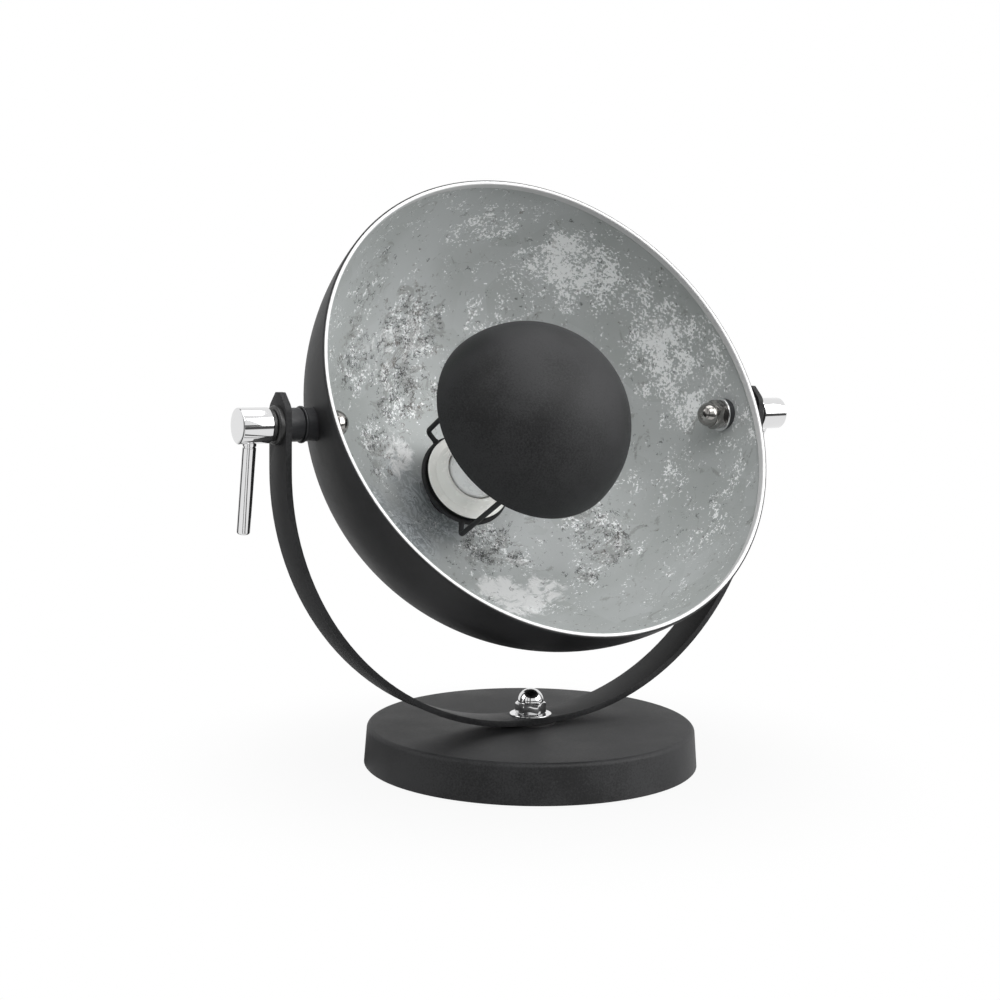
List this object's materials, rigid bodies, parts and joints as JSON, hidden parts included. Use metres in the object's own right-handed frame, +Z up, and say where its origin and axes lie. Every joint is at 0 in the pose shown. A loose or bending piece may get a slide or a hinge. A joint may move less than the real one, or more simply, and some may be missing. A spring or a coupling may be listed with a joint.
{
  "type": "tabletop searchlight lamp",
  "caption": "Table lamp with a hemispherical reflector dish that tilts in a swivelling strip yoke on a round weighted foot, a domed cap on wire legs hiding the bulb.",
  "frame": {"origin": "centre of the underside of the foot, on the surface the lamp stands on", "axes": "+X along the trunnion axis towards the right-hand clamp lever, seen from the front, +Z up, and the dish opens towards -Y and up at rest"},
  "size_m": [0.3208, 0.2078, 0.2989],
  "materials": {
    "black_powder_coat": "fine textured matte black powder coat",
    "silver_leaf": "crumpled silver metal leaf over a satin grey ground",
    "polished_chrome": "polished chrome plate",
    "black_rubber": "smooth black rubber",
    "cast_weight": "raw cast iron",
    "zinc_plated_steel": "bright zinc plate",
    "white_holder": "white glazed lampholder body",
    "brass_contacts": "plain brass",
    "opal_glass": "opal white glass",
    "white_bulb_neck": "white moulded neck",
    "bulb_cap_metal": "bright pressed screw cap",
    "black_plastic": "black moulded plastic"
  },
  "bodies": {
    "foot": {"foot_cover": "black_powder_coat", "foot_weight": "cast_weight", "foot_plate": "zinc_plated_steel", "plate_screws": "zinc_plated_steel", "foot_pad": "black_rubber", "pan_bolt": "zinc_plated_steel", "pan_friction_washer": "black_plastic", "pan_washer": "polished_chrome", "pan_nut": "polished_chrome"},
    "yoke_frame": {"yoke": "black_powder_coat", "left_outer_washer": "black_plastic", "right_outer_washer": "black_plastic"},
    "dish_head": {"dish_shell": "black_powder_coat", "leaf_lining": "silver_leaf", "centre_cap": "black_powder_coat", "leg_ring": "black_powder_coat", "cap_leg_1": "black_powder_coat", "cap_leg_2": "black_powder_coat", "cap_leg_3": "black_powder_coat", "holder_cup": "black_powder_coat", "lampholder": "white_holder", "thread_shell": "brass_contacts", "centre_contact": "brass_contacts", "terminal_screws": "brass_contacts", "nipple": "zinc_plated_steel", "bulb_contact": "brass_contacts", "bulb_cap": "bulb_cap_metal", "bulb_neck": "white_bulb_neck", "bulb_globe": "opal_glass", "rear_cover": "black_powder_coat", "rear_lock_nut": "zinc_plated_steel", "lead_inlet": "black_plastic", "earth_screw": "zinc_plated_steel", "earth_nut": "zinc_plated_steel", "left_stud": "zinc_plated_steel", "left_inner_seat": "black_rubber", "left_inner_washer": "polished_chrome", "left_inner_nut": "polished_chrome", "left_inner_spacer": "black_rubber", "left_ridge_washer": "black_rubber", "left_outer_spacer": "black_rubber", "right_stud": "zinc_plated_steel", "right_inner_seat": "black_rubber", "right_inner_washer": "polished_chrome", "right_inner_nut": "polished_chrome", "right_inner_spacer": "black_rubber", "right_ridge_washer": "black_rubber", "right_outer_spacer": "black_rubber"},
    "left_clamp": {"left_clamp_knob": "polished_chrome", "left_knob_collar": "black_plastic", "left_lever": "polished_chrome"},
    "right_clamp": {"right_clamp_knob": "polished_chrome", "right_knob_collar": "black_plastic", "right_lever": "polished_chrome"}
  },
  "joints": [
    {"name": "base_pan", "type": "hinge", "parent": "foot", "child": "yoke_frame", "pos_m": [0, 0, 0.0215], "axis": [0, 0, 1], "continuous": true},
    {"name": "dish_tilt", "type": "hinge", "parent": "yoke_frame", "child": "dish_head", "pos_m": [0, 0, 0.177], "axis": [-1, 0, 0], "range_deg": [-118, 150]},
    {"name": "left_lever_turn", "type": "hinge", "parent": "dish_head", "child": "left_clamp", "pos_m": [-0.155, 0, 0.177], "axis": [-1, 0, 0], "range_deg": [0, 180]},
    {"name": "right_lever_turn", "type": "hinge", "parent": "dish_head", "child": "right_clamp", "pos_m": [0.1528, 0, 0.177], "axis": [1, 0, 0], "range_deg": [0, 180]}
  ]
}
